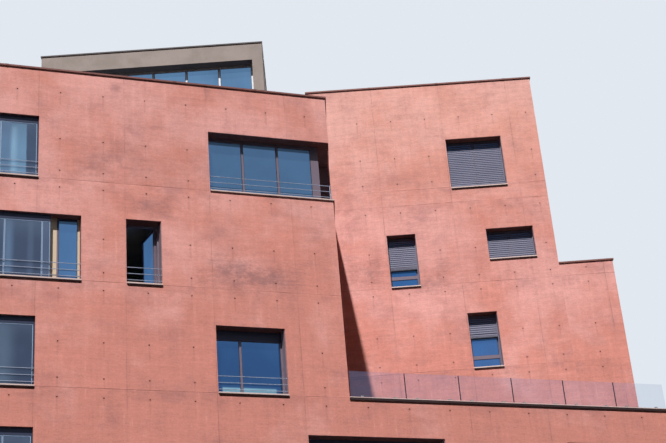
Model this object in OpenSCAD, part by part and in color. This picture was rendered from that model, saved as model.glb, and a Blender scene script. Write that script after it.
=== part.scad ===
// Apartment block of red exposed concrete: a long wing with a slanted street front,
// a taller tower set back behind a terrace, a lower step beside it and a roof pavilion.
// X runs along the tower's front, Y goes into the block, Z is up, 0 is the ground.

/* [Plan] */
// Length of the wing's street front, from its left end to its free corner
wing_front_len = 16000; // [14500:100:22000]
// Turn of the street front away from the tower's front, in degrees
front_turn = 18.2; // [12:0.1:22]
// Distance of the tower's front behind the wing's free corner
tower_setback = 6560; // [5000:10:8000]
// Width of the tower's front, measured from the wing's side face
tower_w = 7530; // [7500:10:10000]
// Width of the lower step beside the tower
step_w = 1800; // [1500:10:4000]
// Depth of the tower from front to rear face
tower_depth = 7440; // [6500:10:12000]
// Thickness of the concrete walls
wall_t = 450; // [440:5:550]

/* [Levels] */
// Height of one regular storey
storey_h = 3030; // [2900:10:3300]
// Height of the ground storey, up to the first upper floor
ground_storey_h = 5240; // [4400:10:6000]
// Thickness of the ground slab that the walls stand on
foundation_h = 250; // [200:10:400]
// Thickness of the upper floors and roofs
slab_t = 300; // [240:5:350]
// Height of a window sill over its floor, where each lift of concrete ends
sill_h = 520; // [400:10:600]
// Raised height of the tower's top floor over the regular level
top_floor_rise = 540; // [350:10:700]
// Height of the wing's walls over the roof's line of concrete
wing_parapet_h = 460; // [300:10:900]
// Height of the tower's walls over its last line of concrete
tower_parapet_h = 1180; // [600:10:1500]

/* [Windows] */
// Height of a regular window opening
window_h = 1950; // [1700:10:2050]
// Width of a narrow window opening
narrow_w = 980; // [850:10:1200]
// Width of a double window opening
double_w = 1940; // [1700:10:2100]
// Width of the windows at the right end of the tower's front
tower_right_w = 1600; // [1300:10:1700]
// Raised height of the tower's high sill
high_sill = 790; // [500:10:900]
// Width of the corner window along the street front
corner_w = 3660; // [3200:10:4200]
// Length of the corner window round the corner, along the side face
corner_side_w = 1500; // [1200:10:2500]
// Width of the long window below the terrace
long_w = 3920; // [3400:10:4100]
// Height of the fixed lower light in the tower's narrow windows
lower_light_h = 490; // [350:10:700]
// Depth of the window frames behind the face of the wall
reveal = 340; // [250:5:350]
// Depth of a window frame
frame_d = 80; // [60:1:85]
// Face width of a window frame
frame_w = 60; // [40:1:80]
// Height of the blind box over a window
blind_box_h = 290; // [150:5:320]
// Height of the corner window's head over its panes
corner_head_h = 110; // [60:5:200]
// Width of the post at the corner of the corner window
post_w = 180; // [100:5:220]
// Thickness of the glass panes
pane_t = 28; // [20:1:40]
// Thickness of the metal linings in the window reveals
lining_t = 12; // [6:1:20]
// Depth of the metal linings' edge behind the face of the wall
lining_inset = 45; // [20:5:90]
// Angle to which the open casement is turned into the room
casement_angle = 79; // [20:1:85]
// Gap between the open casement and its frame
leaf_gap = 4; // [2:1:8]
// Diameter of the open casement's hinges
hinge_dia = 24; // [16:1:40]
// Length of the open casement's hinges
hinge_len = 90; // [60:5:140]

/* [Glazed balconies] */
// Width of a regular glazed balcony opening
balcony_w = 2430; // [2000:10:2500]
// Width of the widest glazed balcony opening
wide_balcony_w = 3610; // [3200:10:3700]
// Width of the fixed light beside the widest balcony's folding panes
side_light_w = 630; // [500:10:900]
// Depth of that fixed light and its post behind the face of the wall
side_light_inset = 270; // [250:5:350]
// Width of a folding pane
folding_pane_w = 990; // [700:10:1200]
// Width of the narrow folding pane beside the widest balcony's post
post_pane_w = 215; // [150:5:400]
// Width of the short folding pane on the third upper floor
short_pane_w = 700; // [500:10:900]
// Gap between two folding panes
folding_gap = 8; // [4:1:15]
// Thickness of the folding panes
folding_t = 12; // [8:1:20]
// Depth of the folding panes behind the face of the wall
folding_inset = 110; // [90:5:140]
// Height of the track under the folding panes
track_h = 35; // [25:1:60]
// Height of the box that the folding panes hang from
folding_box_h = 200; // [80:5:250]
// Width of the upright profiles beside the folding panes
folding_side_w = 40; // [20:1:60]

/* [Sills, rails and blinds] */
// Thickness of the metal sills
sill_t = 35; // [20:1:50]
// Overhang of the metal sills past the wall
sill_out = 42; // [20:1:70]
// Diameter of the guard rails in front of the windows
rail_dia = 20; // [14:1:24]
// Number of guard rails in front of each window
rail_count = 3; // [1:1:4]
// Height of the lowest guard rail over the sill
rail_lift = 112; // [80:2:160]
// Distance from one guard rail to the next
rail_pitch = 185; // [120:5:220]
// Depth of the guard rails behind the face of the wall
rail_inset = 68; // [50:2:70]
// Diameter of the upright rod at the corner that carries the guard rails
corner_rod_dia = 30; // [26:1:40]
// Diameter of the round plates that fix the guard rails
fixing_dia = 44; // [35:1:50]
// Thickness of the round plates that fix the guard rails
fixing_t = 8; // [4:1:15]
// Width of one blind slat
slat_w = 80; // [60:1:90]
// Distance from one blind slat to the next
slat_pitch = 72; // [60:1:90]
// Thickness of a blind slat
slat_t = 3; // [2:0.5:5]
// Tilt of the blind slats from level, in degrees
slat_tilt = 66; // [30:1:68]
// Width of the rails that guide the slats
guide_w = 25; // [15:1:40]
// Height of the bar at the foot of a blind
foot_bar_h = 28; // [15:1:40]
// Share of the left tower window that its blind covers
left_blind_drop = 0.64; // [0.2:0.02:1]
// Share of the low tower window that its blind covers
low_blind_drop = 0.43; // [0.2:0.02:1]

/* [Roofs and terrace] */
// Height of the metal copings
coping_h = 50; // [40:5:150]
// Overhang of the copings past the walls
coping_out = 38; // [15:1:60]
// Height of the glass balustrade over the terrace edge
balustrade_h = 780; // [700:10:1100]
// Thickness of the balustrade glass
balustrade_t = 20; // [12:1:30]
// Depth of the balustrade behind the face of the wall
balustrade_inset = 60; // [30:5:200]
// Number of glass panels in the balustrade
balustrade_panels = 6; // [4:1:9]
// Gap between two balustrade panels
balustrade_gap = 15; // [8:1:30]

/* [Roof pavilion] */
// Width of the roof pavilion
pavilion_w = 6950; // [5000:10:8500]
// Depth of the roof pavilion
pavilion_d = 5200; // [4000:10:6500]
// Height of the roof pavilion over the wing's roof
pavilion_h = 3860; // [3300:10:4300]
// Distance of the pavilion's right side from the wing's side face
pavilion_inset = 1810; // [1200:10:2500]
// Distance of the pavilion's front behind the wing's free corner
pavilion_setback = 1060; // [600:10:2000]
// Height of the pavilion's roof edge
pavilion_edge_h = 600; // [400:10:800]
// Thickness of the pavilion's walls
pavilion_wall_t = 330; // [250:5:450]
// Depth of the pavilion's glazing behind its roof edge
pavilion_recess = 330; // [200:10:900]
// Number of glazed bays in the pavilion's front
pavilion_bays = 6; // [4:1:10]
// Height of the metal trim on the pavilion's roof
trim_h = 45; // [25:5:80]
// Overhang of the metal trim past the pavilion
trim_out = 25; // [10:1:50]

/* [Entrance] */
// Width of the entrance door opening
door_w = 1900; // [1400:10:2400]
// Height of the entrance door opening
door_h = 2600; // [2200:10:3000]
// Thickness of the entrance door
door_t = 50; // [35:1:60]

/* [Hidden] */

concrete = [0.85, 0.57, 0.51];
slab_grey = [0.72, 0.70, 0.67];
metal_red = [0.62, 0.38, 0.34];
metal_dark = [0.30, 0.27, 0.28];
metal_light = [0.72, 0.68, 0.67];
pane_blue = [0.45, 0.60, 0.75];
pavilion_beige = [0.66, 0.62, 0.56];

// Cutters reach this far past what they cut.
eps = 1;

slope = tan(front_turn);
front_dir = [cos(front_turn), sin(front_turn)];
front_in = [-sin(front_turn), cos(front_turn)];
wall_tv = wall_t / cos(front_turn);
left_x = -wing_front_len * cos(front_turn);
step_x = tower_w + step_w;
rear_y = tower_setback + tower_depth;
front_right_len = step_x / cos(front_turn);
centre_x = (left_x + step_x) / 2;
centre_y = (slope * left_x + rear_y) / 2;

function floor_z(n) = ground_storey_h + (n - 1) * storey_h;
function sill_z(n) = floor_z(n) + sill_h;
function head_z(n) = sill_z(n) + window_h;
terrace_line = sill_z(4);
wing_wall_top = sill_z(7) + wing_parapet_h;
top_floor_z = floor_z(7) + top_floor_rise;
tower_line = top_floor_z + sill_h + storey_h;
tower_wall_top = tower_line + tower_parapet_h;
step_wall_top = sill_z(6) + wing_parapet_h;

// Plan of the street front's window columns, along the front from the free corner.
corner_column = -corner_w;
middle_column = -6070;
balcony_column = -10900;
end_margin = 1500;
end_column = end_margin - wing_front_len;
long_column = -1260;
right_column = front_right_len - end_margin - double_w;
terrace_column = 1900;

// The tower's window columns, along its front from the wing's side face.
tower_left_column = 1880;
tower_right_margin = 680;
tower_right_column = tower_w - tower_right_margin - tower_right_w;
tower_middle_column = tower_right_column - narrow_w;
terrace_door_column = 1400;
threshold_h = 100;

// Windows of the rear and the right side, which repeat plainly.
rear_margin = 2000;
rear_pitch = 4200;
rear_count = 3;
tower_rear_column = 1000;
tower_rear_pitch = 3600;
tower_rear_count = 2;
side_column = 2400;
side_pitch = 2600;
side_count = 2;

ground_sill = 900;
ground_head_lift = 500;
ground_head = foundation_h + door_h + ground_head_lift;
door_x = 1200;

// An opening is [left edge, width, bottom, top, relative widths of its lights].
one_light = [1];
two_lights = [0.38, 0.62];
even_lights = [1, 1];
three_lights = [1, 1, 1];
long_lights = [0.38, 1.14, 0.5];
function opening(x, w, n, lights, lift = 0) = [x, w, sill_z(n) + lift, head_z(n), lights];

corner_opening = opening(corner_column, corner_w, 6, three_lights);
casement_opening = opening(middle_column, narrow_w, 5, one_light);
upper_windows = concat(
    [opening(corner_column, double_w, 4, two_lights)],
    [for (n = [4 : 6]) opening(end_column, narrow_w, n, one_light)]
);
lower_windows = concat(
    [opening(middle_column, narrow_w, 2, one_light)],
    [opening(corner_column, double_w, 1, two_lights)],
    [opening(long_column, long_w, 3, long_lights)],
    [opening(long_column, double_w, 2, two_lights)],
    [opening(terrace_column, double_w, 1, two_lights)],
    [for (n = [1 : 3]) opening(end_column, narrow_w, n, one_light)],
    [for (n = [1 : 3]) opening(right_column, double_w, n, two_lights)]
);

// A balcony is an opening with the width of its rightmost folding pane added.
function balcony(w, n, pane_w) = concat(opening(balcony_column, w, n, one_light), [pane_w]);

upper_balconies = [
    balcony(balcony_w, 4, folding_pane_w),
    balcony(wide_balcony_w, 5, post_pane_w),
    balcony(balcony_w, 6, folding_pane_w)
];
lower_balconies = [
    balcony(balcony_w, 1, folding_pane_w),
    balcony(wide_balcony_w, 2, post_pane_w),
    balcony(balcony_w, 3, short_pane_w)
];
ground_windows = [
    for (x = [end_column, balcony_column, middle_column, corner_column])
        [x, narrow_w, ground_sill, ground_head, one_light]
];
door_opening = [door_x, door_w, foundation_h, foundation_h + door_h, one_light];

top_window = [
    tower_middle_column, double_w,
    top_floor_z + sill_h, top_floor_z + sill_h + window_h, even_lights
];
left_tower_window = opening(tower_left_column, narrow_w, 6, one_light);
high_window = opening(tower_right_column, tower_right_w, 6, even_lights, high_sill);
low_tower_window = opening(tower_middle_column, narrow_w, 5, one_light);
terrace_door = [
    terrace_door_column, double_w, floor_z(4) + threshold_h, head_z(4), even_lights
];
narrow_tower_windows = [left_tower_window, low_tower_window];
wide_tower_windows = [top_window, high_window, terrace_door];
tower_windows = concat(narrow_tower_windows, wide_tower_windows);

// The tower's frames: each narrow window has a fixed light under its opening one.
tower_frames = concat(
    wide_tower_windows,
    [for (o = narrow_tower_windows) [o[0], o[1], o[2], o[2] + lower_light_h, one_light]],
    [for (o = narrow_tower_windows) [o[0], o[1], o[2] + lower_light_h, o[3], one_light]]
);
wing_rear_windows = [
    for (n = [1 : 6], i = [0 : rear_count - 1])
        opening(rear_margin + i * rear_pitch, double_w, n, even_lights)
];
tower_rear_windows = [
    for (n = [1 : 6], i = [0 : tower_rear_count - 1])
        opening(tower_rear_column + i * tower_rear_pitch, double_w, n, even_lights)
];
side_windows = [
    for (n = [1 : 3], i = [0 : side_count - 1])
        opening(side_column + i * side_pitch, narrow_w, n, one_light)
];

// Moves the plan so that its middle lies over the origin.
module plan() {
    translate([-centre_x, -centre_y, 0])
        children();
}

// Turns the X axis into the line of the street front.
module street_front() {
    plan()
        rotate([0, 0, front_turn])
            children();
}

// Puts what is drawn along X on the tower's front face.
module tower_face() {
    plan()
        translate([0, tower_setback, 0])
            children();
}

// Puts what is drawn along X on the rear face.
module rear_face() {
    plan()
        translate([0, rear_y, 0])
            mirror([0, 1, 0])
                children();
}

// Puts what is drawn along X on the wing's side face, over the terrace.
module side_face() {
    plan()
        rotate([0, 0, 90])
            children();
}

// Puts what is drawn along X on the right wall's outer face.
module right_face() {
    plan()
        translate([step_x, tower_setback, 0])
            rotate([0, 0, 90])
                children();
}

// Box between two plan corners and two levels.
module block(x0, y0, z0, x1, y1, z1) {
    translate([x0, y0, z0])
        cube([x1 - x0, y1 - y0, z1 - z0]);
}

// Holes through a wall for a list of openings.
module openings(list) {
    for (o = list)
        translate([o[0], -eps, o[2]])
            cube([o[1], wall_t + 2 * eps, o[3] - o[2]]);
}

// Plan strip behind the street front's face, from one X position to another.
module front_strip(x0, x1, out = 0) {
    out_v = out / cos(front_turn);
    polygon([
        [x0, slope * x0 - out_v], [x1, slope * x1 - out_v],
        [x1, slope * x1 + wall_tv], [x0, slope * x0 + wall_tv]
    ]);
}

// Plan of the space inside the walls, from the left end to x1.
module inner_plan(x1) {
    x0 = left_x + wall_t;
    polygon([
        [x0, slope * x0 + wall_tv], [x1, slope * x1 + wall_tv],
        [x1, rear_y - wall_t], [x0, rear_y - wall_t]
    ]);
}

module foundation_slab() {
    color(slab_grey)
        plan()
            linear_extrude(foundation_h)
                polygon([
                    [left_x, slope * left_x], [step_x, slope * step_x],
                    [step_x, rear_y], [left_x, rear_y]
                ]);
}

module lower_front_wall() {
    color(concrete)
        difference() {
            plan()
                translate([0, 0, foundation_h])
                    linear_extrude(terrace_line - foundation_h)
                        front_strip(left_x, step_x);
            street_front()
                openings(concat(lower_windows, lower_balconies, ground_windows, [door_opening]));
        }
}

module wing_front_wall() {
    color(concrete)
        difference() {
            plan()
                translate([0, 0, terrace_line])
                    linear_extrude(wing_wall_top - terrace_line)
                        front_strip(left_x, 0);
            street_front() {
                openings(concat(upper_windows, upper_balconies, [casement_opening]));
                translate([corner_column, -eps, corner_opening[2]])
                    cube([corner_w + wall_t, 2 * wall_t, window_h]);
            }
        }
}

module wing_side_wall() {
    color(concrete)
        plan()
            difference() {
                translate([0, 0, floor_z(4)])
                    linear_extrude(wing_wall_top - floor_z(4))
                        polygon([
                            [-wall_t, wall_tv - slope * wall_t], [0, wall_tv],
                            [0, tower_setback], [-wall_t, tower_setback]
                        ]);
                block(-wall_t - eps, 0, corner_opening[2], eps, corner_side_w, corner_opening[3]);
            }
}

module left_end_wall() {
    x1 = left_x + wall_t;
    color(concrete)
        plan()
            translate([0, 0, foundation_h])
                linear_extrude(wing_wall_top - foundation_h)
                    polygon([
                        [left_x, slope * left_x + wall_tv], [x1, slope * x1 + wall_tv],
                        [x1, rear_y - wall_t], [left_x, rear_y - wall_t]
                    ]);
}

module wing_rear_wall() {
    color(concrete)
        difference() {
            plan()
                block(left_x, rear_y - wall_t, foundation_h, -wall_t, rear_y, wing_wall_top);
            rear_face()
                translate([left_x, 0, 0])
                    openings(wing_rear_windows);
        }
}

module tower_rear_wall() {
    color(concrete)
        difference() {
            plan()
                block(-wall_t, rear_y - wall_t, foundation_h, tower_w, rear_y, tower_wall_top);
            rear_face()
                openings(tower_rear_windows);
        }
}

module right_wall() {
    x0 = step_x - wall_t;
    color(concrete)
        difference() {
            plan() {
                translate([0, 0, foundation_h])
                    linear_extrude(terrace_line - foundation_h)
                        polygon([
                            [x0, slope * x0 + wall_tv], [step_x, slope * step_x + wall_tv],
                            [step_x, rear_y - wall_t], [x0, rear_y - wall_t]
                        ]);
                block(x0, tower_setback + wall_t, terrace_line,
                    step_x, rear_y - wall_t, step_wall_top);
            }
            right_face()
                openings(side_windows);
        }
}

module tower_front_wall() {
    color(concrete)
        tower_face()
            difference() {
                block(-wall_t, 0, floor_z(4), tower_w, wall_t, tower_wall_top);
                openings(tower_windows);
            }
}

module tower_left_wall() {
    color(concrete)
        plan()
            block(-wall_t, tower_setback + wall_t, floor_z(7),
                0, rear_y - wall_t, tower_wall_top);
}

module tower_right_wall() {
    color(concrete)
        plan()
            block(tower_w - wall_t, tower_setback + wall_t, floor_z(6),
                tower_w, rear_y - wall_t, tower_wall_top);
}

module step_walls() {
    color(concrete)
        plan() {
            block(tower_w, tower_setback, floor_z(4),
                step_x, tower_setback + wall_t, step_wall_top);
            block(tower_w, rear_y - wall_t, foundation_h, step_x, rear_y, step_wall_top);
        }
}

// Floor over the whole inside of the block, with its top at z.
module full_floor(z) {
    color(slab_grey)
        plan()
            translate([0, 0, z - slab_t])
                linear_extrude(slab_t)
                    inner_plan(step_x - wall_t);
}

// Floor over the wing and on over the tower as far as x1, leaving out the terrace.
module upper_floor(z, x1) {
    color(slab_grey)
        plan()
            translate([0, 0, z - slab_t])
                linear_extrude(slab_t) {
                    inner_plan(-wall_t);
                    translate([-wall_t, tower_setback + wall_t])
                        square([x1 + wall_t, tower_depth - 2 * wall_t]);
                }
}

module lower_floor_slabs() {
    for (n = [1 : 3])
        full_floor(floor_z(n));
}

module terrace_slab() { full_floor(floor_z(4)); }
module floor_slab_5() { upper_floor(floor_z(5), step_x - wall_t); }
module floor_slab_6() { upper_floor(floor_z(6), tower_w); }
module wing_roof_slab() { upper_floor(floor_z(7), 0); }

// Floor or roof inside a ring of walls, from x0 to x1, with its top at z.
module infill_slab(x0, x1, z) {
    color(slab_grey)
        plan()
            block(x0, tower_setback + wall_t, z - slab_t, x1, rear_y - wall_t, z);
}

module tower_top_floor() { infill_slab(0, tower_w - wall_t, top_floor_z); }
module tower_roof_slab() { infill_slab(0, tower_w - wall_t, tower_line - slab_t); }
module step_roof_slab() { infill_slab(tower_w, step_x - wall_t, floor_z(6)); }

module wing_coping() {
    out_v = coping_out / cos(front_turn);
    x0 = left_x - coping_out;
    x1 = left_x + wall_t;
    color(metal_red)
        plan()
            translate([0, 0, wing_wall_top])
                linear_extrude(coping_h)
                    difference() {
                        polygon([
                            [x0, slope * x0 - out_v],
                            [coping_out, slope * coping_out - out_v],
                            [coping_out, tower_setback], [-wall_t, tower_setback],
                            [-wall_t, rear_y + coping_out], [x0, rear_y + coping_out]
                        ]);
                        polygon([
                            [x1, slope * x1 + wall_tv], [-wall_t, wall_tv - slope * wall_t],
                            [-wall_t, rear_y - wall_t], [x1, rear_y - wall_t]
                        ]);
                    }
}

// Coping ring over walls that run from x0 to x1, open on the left where it meets a wall.
module square_coping(x0, x1, hole_x0, z) {
    color(metal_red)
        plan()
            difference() {
                block(x0, tower_setback - coping_out, z,
                    x1 + coping_out, rear_y + coping_out, z + coping_h);
                block(hole_x0, tower_setback + wall_t, z - eps,
                    x1 - wall_t, rear_y - wall_t, z + coping_h + eps);
            }
}

module tower_coping() { square_coping(-wall_t - coping_out, tower_w, 0, tower_wall_top); }
module step_coping() { square_coping(tower_w, step_x, tower_w - eps, step_wall_top); }

module terrace_edge() {
    color(metal_light)
        plan()
            translate([0, 0, terrace_line])
                linear_extrude(sill_t)
                    front_strip(0, step_x, sill_out);
}

// Sum of the first i values of a list.
function sum_to(list, i) = i <= 0 ? 0 : list[i - 1] + sum_to(list, i - 1);

// Left edge and width of one light of an opening, inside its frame bars.
function light_unit(o) = (o[1] - frame_w) / sum_to(o[4], len(o[4]));
function light_x(o, i) = o[0] + frame_w + light_unit(o) * sum_to(o[4], i);
function light_w(o, i) = light_unit(o) * o[4][i] - frame_w;

// Frame of one opening, with its head over the lights.
module frame_bars(o, head, inset = reveal) {
    translate([o[0], inset, o[2]])
        difference() {
            cube([o[1], frame_d, o[3] - o[2]]);
            for (i = [0 : len(o[4]) - 1])
                translate([light_x(o, i) - o[0], -eps, frame_w])
                    cube([light_w(o, i), frame_d + 2 * eps, o[3] - o[2] - frame_w - head]);
        }
}

// Metal linings on the two reveals of each window, from near the face to the frame.
module linings(list) {
    for (o = list, x = [o[0], o[0] + o[1] - lining_t])
        translate([x, lining_inset, o[2] + sill_t])
            cube([lining_t, reveal - lining_inset, o[3] - o[2] - sill_t]);
}

// Panes in one frame.
module panes(o, head, inset = reveal) {
    for (i = [0 : len(o[4]) - 1])
        translate([light_x(o, i), inset + (frame_d - pane_t) / 2, o[2] + frame_w])
            cube([light_w(o, i), pane_t, o[3] - o[2] - frame_w - head]);
}

front_windows = concat(upper_windows, lower_windows);
balconies = concat(upper_balconies, lower_balconies);

// A last folding pane under this share of a whole one is joined to its neighbour.
least_pane_share = 0.3;

// The fixed light beside the folding panes of each widest balcony.
side_lights = [
    for (o = balconies)
        if (o[1] > balcony_w)
            [o[0] + o[1] - side_light_w, side_light_w, o[2], o[3], one_light]
];

module front_window_frames() {
    color(metal_dark)
        street_front() {
            for (o = front_windows)
                frame_bars(o, blind_box_h);
            for (o = ground_windows)
                frame_bars(o, frame_w);
            for (o = balconies)
                balcony_track(o);
            for (o = side_lights) {
                frame_bars(o, frame_w, side_light_inset);
                translate([o[0] - post_w, side_light_inset, o[2]])
                    cube([post_w, frame_d, o[3] - o[2]]);
            }
        }
}

module front_window_glass() {
    color(pane_blue)
        street_front() {
            for (o = front_windows)
                panes(o, blind_box_h);
            for (o = ground_windows)
                panes(o, frame_w);
            for (o = side_lights)
                panes(o, frame_w, side_light_inset);
            casement_leaf()
                translate([frame_w, (frame_d - pane_t) / 2, frame_w])
                    cube([leaf_w - 2 * frame_w, pane_t, leaf_h - 2 * frame_w]);
        }
}

// Width of a balcony's folding glazing, short of the post in a widest one.
function folding_w(o) = o[1] - (o[1] > balcony_w ? side_light_w + post_w : 0);
function folding_right_w(o) = o[1] > balcony_w ? folding_t : folding_side_w;

// Slim frame that holds the folding panes of a balcony, with the box that they hang from.
module balcony_track(o) {
    depth = 3 * folding_t;
    translate([o[0], folding_inset - folding_t, o[2]])
        difference() {
            cube([folding_w(o), depth, o[3] - o[2]]);
            translate([folding_side_w, -eps, track_h])
                cube([
                    folding_w(o) - folding_side_w - folding_right_w(o), depth + 2 * eps,
                    o[3] - o[2] - track_h - folding_box_h
                ]);
        }
}

// Folding panes without frames, laid from the right; what is left makes the last one.
module folding_panes(o) {
    x0 = o[0] + folding_side_w;
    x1 = o[0] + folding_w(o) - folding_right_w(o);
    count = max(1, ceil((x1 - x0 - o[5]) / folding_pane_w - least_pane_share));
    pane_ends = [x1, for (i = [0 : count - 1]) x1 - o[5] - i * folding_pane_w, x0];
    for (i = [0 : count])
        translate([pane_ends[i + 1] + folding_gap, folding_inset, o[2] + track_h])
            cube([
                pane_ends[i] - pane_ends[i + 1] - folding_gap, folding_t,
                o[3] - o[2] - track_h - folding_box_h
            ]);
}

module balcony_glass() {
    color(pane_blue)
        street_front()
            for (o = balconies)
                folding_panes(o);
}

// Where the outer faces of the corner window's two frames meet, in plan.
corner_point = [-reveal, reveal / cos(front_turn) - slope * reveal];
corner_front_end = corner_point * front_dir - post_w;
corner_front = [
    corner_column, corner_w + corner_front_end, corner_opening[2], corner_opening[3], three_lights
];
corner_side_start = corner_point[1] + post_w;
corner_side = [
    corner_side_start, corner_side_w - corner_side_start,
    corner_opening[2], corner_opening[3], one_light
];

module corner_window_frame() {
    inner = corner_point + [-frame_d, frame_d * (1 - sin(front_turn)) / cos(front_turn)];
    color(metal_dark) {
        street_front()
            frame_bars(corner_front, corner_head_h);
        side_face()
            frame_bars(corner_side, corner_head_h);
        plan()
            translate([0, 0, corner_opening[2]])
                linear_extrude(window_h)
                    polygon([
                        corner_point, corner_point + [0, post_w],
                        corner_point + [-frame_d, post_w], inner,
                        corner_point - post_w * front_dir + frame_d * front_in,
                        corner_point - post_w * front_dir
                    ]);
    }
}

module reveal_linings() {
    color(metal_red) {
        street_front()
            linings(concat(front_windows, ground_windows, [casement_opening]));
        tower_face()
            linings(tower_windows);
        rear_face() {
            linings(tower_rear_windows);
            translate([left_x, 0, 0])
                linings(wing_rear_windows);
        }
        right_face()
            linings(side_windows);
    }
}

module corner_window_glass() {
    color(pane_blue) {
        street_front()
            panes(corner_front, corner_head_h);
        side_face()
            panes(corner_side, corner_head_h);
    }
}

leaf_w = narrow_w - 2 * frame_w - 2 * leaf_gap;
leaf_h = window_h - 2 * frame_w - 2 * leaf_gap;

// Places the open leaf, which turns into the room about its right edge.
module casement_leaf() {
    casement_hinge()
        rotate([0, 0, -casement_angle])
            translate([-leaf_w - leaf_gap, -frame_d, 0])
                children();
}

// Moves to the open leaf's hinge line, at the foot of the leaf.
module casement_hinge() {
    translate([
        middle_column + narrow_w - frame_w, reveal + frame_d,
        casement_opening[2] + frame_w + leaf_gap
    ])
        children();
}

module open_casement() {
    color(metal_dark)
        street_front() {
            frame_bars(casement_opening, frame_w);
            casement_leaf()
                difference() {
                    cube([leaf_w, frame_d, leaf_h]);
                    translate([frame_w, -eps, frame_w])
                        cube([leaf_w - 2 * frame_w, frame_d + 2 * eps, leaf_h - 2 * frame_w]);
                }
            casement_hinge()
                for (z = [leaf_h / 6, 5 * leaf_h / 6])
                    translate([0, 0, z - hinge_len / 2])
                        cylinder(d = hinge_dia, h = hinge_len, $fn = 24);
        }
}

module tower_window_frames() {
    color(metal_dark)
        tower_face()
            for (o = tower_frames)
                frame_bars(o, frame_w);
}

module tower_window_glass() {
    color(pane_blue)
        tower_face()
            for (o = tower_frames)
                panes(o, frame_w);
}

module plain_window_frames() {
    color(metal_dark) {
        rear_face() {
            for (o = tower_rear_windows)
                frame_bars(o, frame_w);
            translate([left_x, 0, 0])
                for (o = wing_rear_windows)
                    frame_bars(o, frame_w);
        }
        right_face()
            for (o = side_windows)
                frame_bars(o, frame_w);
    }
}

module plain_window_glass() {
    color(pane_blue) {
        rear_face() {
            for (o = tower_rear_windows)
                panes(o, frame_w);
            translate([left_x, 0, 0])
                for (o = wing_rear_windows)
                    panes(o, frame_w);
        }
        right_face()
            for (o = side_windows)
                panes(o, frame_w);
    }
}

// One curved slat, drawn along X with its middle at the origin.
module slat(len) {
    arc_r = slat_w;
    half = asin(slat_w / 2 / arc_r);
    rotate([slat_tilt, 0, 0])
        rotate([0, 90, 0])
            linear_extrude(len)
                translate([arc_r * cos(half), 0])
                    difference() {
                        circle(r = arc_r + slat_t / 2, $fn = 96);
                        circle(r = arc_r - slat_t / 2, $fn = 96);
                        translate([-arc_r * cos(half), -2 * arc_r])
                            square([4 * arc_r, 4 * arc_r]);
                    }
}

// Blind of one window that hangs from its head down to a share of its height.
module blind(o, share) {
    guide_d = slat_w + 2 * slat_t;
    y = reveal - guide_d;
    drop = (o[3] - o[2] - sill_t) * share;
    x0 = o[0] + lining_t;
    w = o[1] - 2 * lining_t;
    count = floor((drop - slat_w - foot_bar_h) / slat_pitch);
    translate([x0, y, o[2] + sill_t])
        for (x = [0, w - guide_w])
            translate([x, 0, 0])
                cube([guide_w, guide_d, o[3] - o[2] - sill_t]);
    translate([x0, y, o[3] - drop])
        cube([w, guide_d, foot_bar_h]);
    for (i = [0 : count - 1])
        translate([x0, y + guide_d / 2, o[3] - slat_w / 2 - i * slat_pitch])
            slat(w);
}

module window_blinds() {
    color(metal_light)
        tower_face() {
            blind(top_window, 1);
            blind(left_tower_window, left_blind_drop);
            blind(high_window, 1);
            blind(low_tower_window, low_blind_drop);
        }
}

module sills_of(list) {
    for (o = list)
        translate([o[0], -sill_out, o[2]])
            cube([o[1], reveal + sill_out, sill_t]);
}

// Sill that runs round the corner under the corner window.
module corner_sill() {
    plan()
        translate([0, 0, corner_opening[2]])
            linear_extrude(sill_t)
                polygon([
                    -corner_w * front_dir - sill_out * front_in,
                    [sill_out, slope * sill_out - sill_out / cos(front_turn)],
                    [sill_out, corner_side_w], [-reveal, corner_side_w],
                    corner_point, -corner_w * front_dir + reveal * front_in
                ]);
}

module window_sills() {
    color(metal_light) {
        street_front() {
            sills_of(concat(front_windows, ground_windows, [casement_opening]));
            for (o = balconies)
                translate([o[0], -sill_out, o[2]])
                    cube([o[1], folding_inset - folding_t + sill_out, sill_t]);
        }
        tower_face()
            sills_of(tower_windows);
        rear_face() {
            sills_of(tower_rear_windows);
            translate([left_x, 0, 0])
                sills_of(wing_rear_windows);
        }
        right_face()
            sills_of(side_windows);
        corner_sill();
    }
}

// Guard rails from one reveal to the other, with a round plate at each end that is fixed.
module rails(x, w, z, ends) {
    for (i = [1 : rail_count])
        translate([x, rail_inset, z + sill_t + rail_lift + (i - 1) * rail_pitch])
            rotate([0, 90, 0]) {
                cylinder(d = rail_dia, h = w, $fn = 24);
                for (end = ends)
                    translate([0, 0, end * (w - fixing_t)])
                        cylinder(d = fixing_dia, h = fixing_t, $fn = 32);
            }
}

module guard_rails() {
    bend = rail_inset * (1 - sin(front_turn)) / cos(front_turn);
    color(metal_light) {
        street_front() {
            for (o = concat(front_windows, [casement_opening]))
                rails(o[0] + lining_t, o[1] - 2 * lining_t, o[2], [0, 1]);
            for (o = balconies)
                rails(o[0], o[1], o[2], [0, 1]);
            rails(corner_column, corner_w - bend, corner_opening[2], [0]);
        }
        side_face()
            rails(bend, corner_side_w - bend, corner_opening[2], [1]);
        plan()
            translate([-rail_inset, bend, corner_opening[2] + sill_t])
                cylinder(
                    d = corner_rod_dia,
                    h = rail_lift + (rail_count - 1) * rail_pitch + corner_rod_dia / 2,
                    $fn = 24
                );
    }
}

module terrace_balustrade() {
    pitch = (front_right_len - balustrade_inset) / balustrade_panels;
    color(pane_blue)
        street_front()
            for (i = [0 : balustrade_panels - 1])
                translate([
                    balustrade_inset + i * pitch, balustrade_inset, terrace_line + sill_t
                ])
                    cube([pitch - balustrade_gap, balustrade_t, balustrade_h]);
}

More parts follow.
